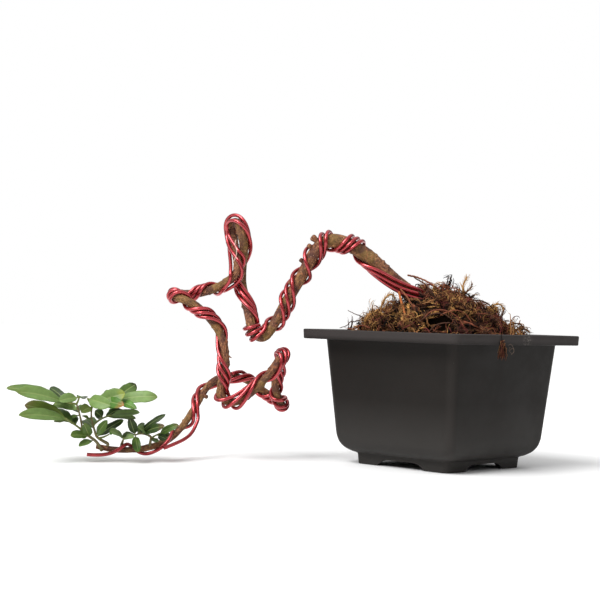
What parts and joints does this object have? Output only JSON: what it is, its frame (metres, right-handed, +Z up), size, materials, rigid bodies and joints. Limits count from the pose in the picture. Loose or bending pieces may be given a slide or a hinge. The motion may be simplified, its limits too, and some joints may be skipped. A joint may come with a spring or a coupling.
{
  "type": "bonsai tree in pot",
  "caption": "Bonsai with one long bent trunk that zigzags and loops sideways out of a square tapered pot, wound with training wire and ending in leafy shoots.",
  "frame": {"origin": "middle of the whole object's box, at the height of the pot's feet", "axes": "+Z up, +Y away from the front, +X from the leafy tip towards the pot"},
  "size_m": [0.4626, 0.228, 0.2035],
  "materials": {
    "pot_plastic": "dark charcoal, satin, a little dusty",
    "mesh_plastic": "black, matte",
    "soil_mix": "dark brown gritty mix",
    "moss_fibre": "olive gold to reddish brown tangled fibres",
    "bark": "brown olive bark with light pores",
    "red_wire": "red anodised, glossy",
    "leaf": "mid green, satin, with yellowish and brown tips"
  },
  "bodies": {
    "root": {"pot": "pot_plastic", "drain_mesh": "mesh_plastic", "soil": "soil_mix", "moss": "moss_fibre", "trunk": "bark", "wire_a": "red_wire", "wire_b": "red_wire", "wire_c": "red_wire", "shoot_left": "leaf", "shoot_middle": "leaf", "shoot_low": "leaf", "shoot_inner": "leaf"}
  },
  "joints": []
}
